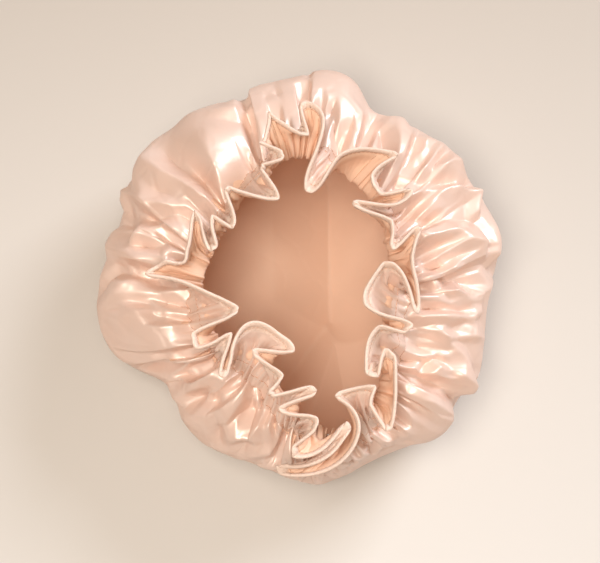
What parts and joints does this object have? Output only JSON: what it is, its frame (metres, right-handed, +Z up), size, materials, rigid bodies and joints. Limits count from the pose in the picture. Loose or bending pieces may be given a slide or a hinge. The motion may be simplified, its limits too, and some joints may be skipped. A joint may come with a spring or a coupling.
{
  "type": "shower cap",
  "caption": "Satin shower cap with a waterproof lining, drawn in by an elastic in a stitched casing, so that the cloth past it stands up as a deep pleated frill.",
  "frame": {"origin": "middle of the flat crown, on the surface that the cap lies on", "axes": "+Z up out of the mouth, +X to the right of the picture, +Y to the back, which is the top of the picture"},
  "size_m": [0.2514, 0.2614, 0.1339],
  "materials": {
    "satin": "pale peach satin weave with a broad soft gloss",
    "lining": "deeper peach cloth with a smooth matt waterproof coat",
    "elastic": "off-white flat knitted elastic",
    "thread": "spun sewing thread in the colour of the satin"
  },
  "bodies": {
    "root": {"satin_shell": "satin", "waterproof_lining": "lining", "elastic_band": "elastic", "elastic_join_tack": "thread", "hem_needle_thread": "thread", "hem_bobbin_thread": "thread", "casing_upper_needle_thread": "thread", "casing_upper_bobbin_thread": "thread", "casing_lower_needle_thread": "thread", "casing_lower_bobbin_thread": "thread"}
  },
  "joints": []
}
